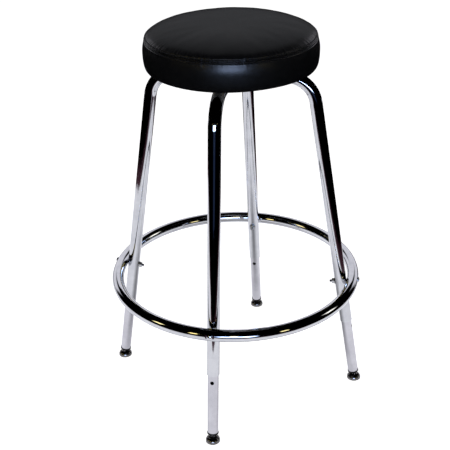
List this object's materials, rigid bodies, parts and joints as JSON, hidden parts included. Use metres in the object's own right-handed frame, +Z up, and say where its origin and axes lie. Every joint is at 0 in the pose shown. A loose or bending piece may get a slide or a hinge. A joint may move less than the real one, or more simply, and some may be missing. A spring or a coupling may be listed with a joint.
{
  "type": "adjustable swivel stool",
  "caption": "Round padded swivel stool on splayed chrome tube legs with a foot ring and telescoping, bolt-locked leg extensions on swivel glides.",
  "frame": {"origin": "on the floor under the middle of the seat, at the bottom centre of the bounding box", "axes": "+Z up; the front leg points along -Y and the right leg along +X"},
  "size_m": [0.5652, 0.5652, 0.808],
  "materials": {
    "vinyl": "soft black grained upholstery vinyl with a low satin sheen",
    "foam": "open-cell seat foam",
    "plywood": "birch plywood",
    "cambric": "thin non-woven black dust cloth",
    "zinc": "bright zinc plated steel",
    "bright_steel": "polished steel",
    "black_steel": "black enamelled steel plate",
    "chrome": "bright chrome plate",
    "chrome_tube": "chrome plate, slightly softer than the fixed legs",
    "glide_chrome": "bright nickel-chrome plate",
    "black_plastic": "black moulded nylon"
  },
  "bodies": {
    "frame": {"swivel_base_plate": "zinc", "leg_plate": "black_steel", "plate_bolts": "zinc", "plate_nuts": "zinc", "leg_welds": "chrome", "foot_ring": "chrome", "ring_bolts": "chrome", "ring_washers": "zinc", "ring_nuts": "zinc", "leg_tube_front": "chrome", "leg_tube_right": "chrome", "leg_tube_back": "chrome", "leg_tube_left": "chrome"},
    "seat": {"seat_cover": "vinyl", "seat_foam": "foam", "seat_board": "plywood", "seat_tee_nuts": "zinc", "seat_dust_cover": "cambric", "seat_staples": "zinc", "swivel_top_plate": "zinc", "swivel_screws": "zinc", "swivel_pivot": "zinc"},
    "ball_cage": {"swivel_cage": "bright_steel", "swivel_balls": "bright_steel"},
    "extension_front": {"extension_front": "chrome_tube", "tip_insert_front": "black_plastic", "glide_stud_front": "bright_steel"},
    "glide_front": {"glide_shell_front": "glide_chrome", "glide_pad_front": "black_plastic"},
    "extension_right": {"extension_right": "chrome_tube", "tip_insert_right": "black_plastic", "glide_stud_right": "bright_steel"},
    "glide_right": {"glide_shell_right": "glide_chrome", "glide_pad_right": "black_plastic"},
    "extension_back": {"extension_back": "chrome_tube", "tip_insert_back": "black_plastic", "glide_stud_back": "bright_steel"},
    "glide_back": {"glide_shell_back": "glide_chrome", "glide_pad_back": "black_plastic"},
    "extension_left": {"extension_left": "chrome_tube", "tip_insert_left": "black_plastic", "glide_stud_left": "bright_steel"},
    "glide_left": {"glide_shell_left": "glide_chrome", "glide_pad_left": "black_plastic"}
  },
  "joints": [
    {"name": "seat_swivel", "type": "hinge", "parent": "frame", "child": "seat", "pos_m": [0, 0, 0.7232], "axis": [0, 0, 1], "continuous": true},
    {"name": "cage_turn", "type": "hinge", "parent": "frame", "child": "ball_cage", "pos_m": [0, 0, 0.7232], "axis": [0, 0, 1], "continuous": true},
    {"name": "leg_slide_front", "type": "slide", "parent": "frame", "child": "extension_front", "axis": [0, -0.1512, -0.9885], "range_m": [-0.1143, 0.1143]},
    {"name": "leg_slide_right", "type": "slide", "parent": "frame", "child": "extension_right", "axis": [0.1512, 0, -0.9885], "range_m": [-0.1143, 0.1143]},
    {"name": "leg_slide_back", "type": "slide", "parent": "frame", "child": "extension_back", "axis": [0, 0.1512, -0.9885], "range_m": [-0.1143, 0.1143]},
    {"name": "leg_slide_left", "type": "slide", "parent": "frame", "child": "extension_left", "axis": [-0.1512, 0, -0.9885], "range_m": [-0.1143, 0.1143]},
    {"name": "glide_tilt_front", "type": "hinge", "parent": "extension_front", "child": "glide_front", "pos_m": [0, -0.2676, 0.007], "axis": [1, 0, 0], "range_deg": [-8, 8]},
    {"name": "glide_tilt_right", "type": "hinge", "parent": "extension_right", "child": "glide_right", "pos_m": [0.2676, 0, 0.007], "axis": [0, 1, 0], "range_deg": [-8, 8]},
    {"name": "glide_tilt_back", "type": "hinge", "parent": "extension_back", "child": "glide_back", "pos_m": [0, 0.2676, 0.007], "axis": [-1, 0, 0], "range_deg": [-8, 8]},
    {"name": "glide_tilt_left", "type": "hinge", "parent": "extension_left", "child": "glide_left", "pos_m": [-0.2676, 0, 0.007], "axis": [0, -1, 0], "range_deg": [-8, 8]}
  ],
  "couplings": [
    {"joint": "cage_turn", "follows": "seat_swivel", "ratio": 0.5}
  ]
}
